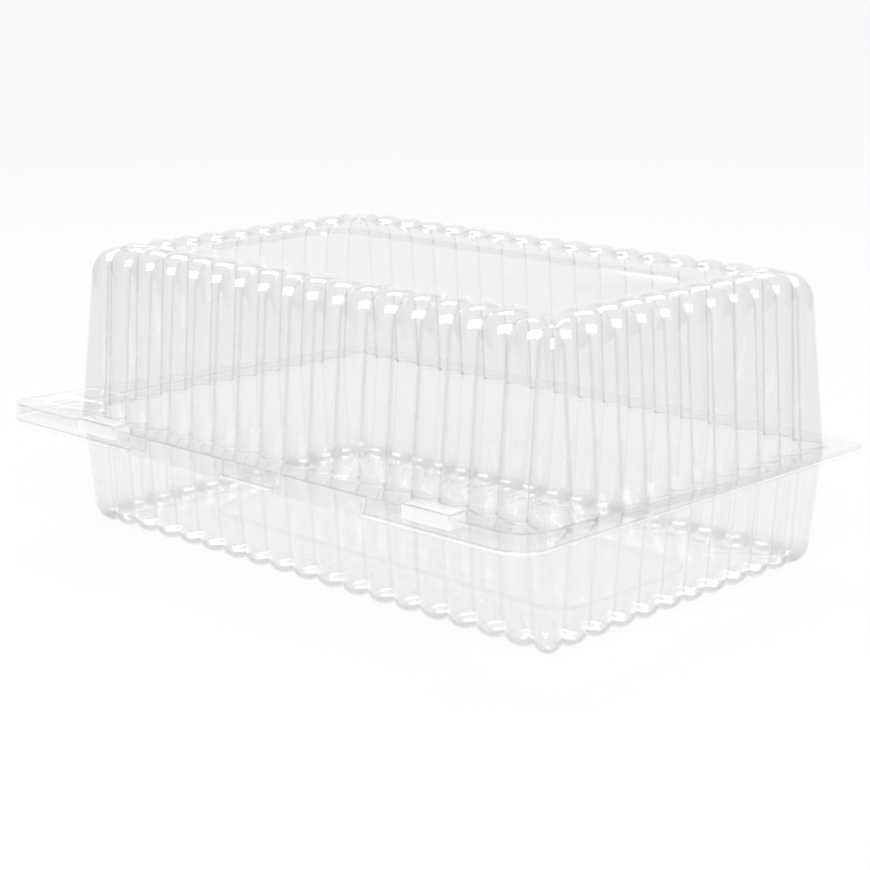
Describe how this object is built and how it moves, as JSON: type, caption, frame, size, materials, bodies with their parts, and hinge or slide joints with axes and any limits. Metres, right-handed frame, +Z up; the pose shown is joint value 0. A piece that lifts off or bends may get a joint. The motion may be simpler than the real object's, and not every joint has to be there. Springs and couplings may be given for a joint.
{
  "type": "plastic clamshell pack",
  "caption": "Clear plastic clamshell food pack with a fluted tray, a deeper fluted hinged lid, a raised rim with opening tabs and snap closures.",
  "frame": {"origin": "centre of the rim's outline in plan, at the level the tray's lobes rest on", "axes": "+X along the long side, -Y towards the opening edge with the tabs, +Y towards the hinge, +Z up"},
  "size_m": [0.24, 0.175, 0.0977],
  "materials": {
    "clear_plastic": "gloss"
  },
  "bodies": {
    "tray": {"tray": "clear_plastic"},
    "lid": {"lid": "clear_plastic"}
  },
  "joints": [
    {"name": "live_hinge", "type": "hinge", "parent": "tray", "child": "lid", "pos_m": [0, 0.0875, 0.03915], "axis": [-1, 0, 0], "range_deg": [0, 180]}
  ]
}
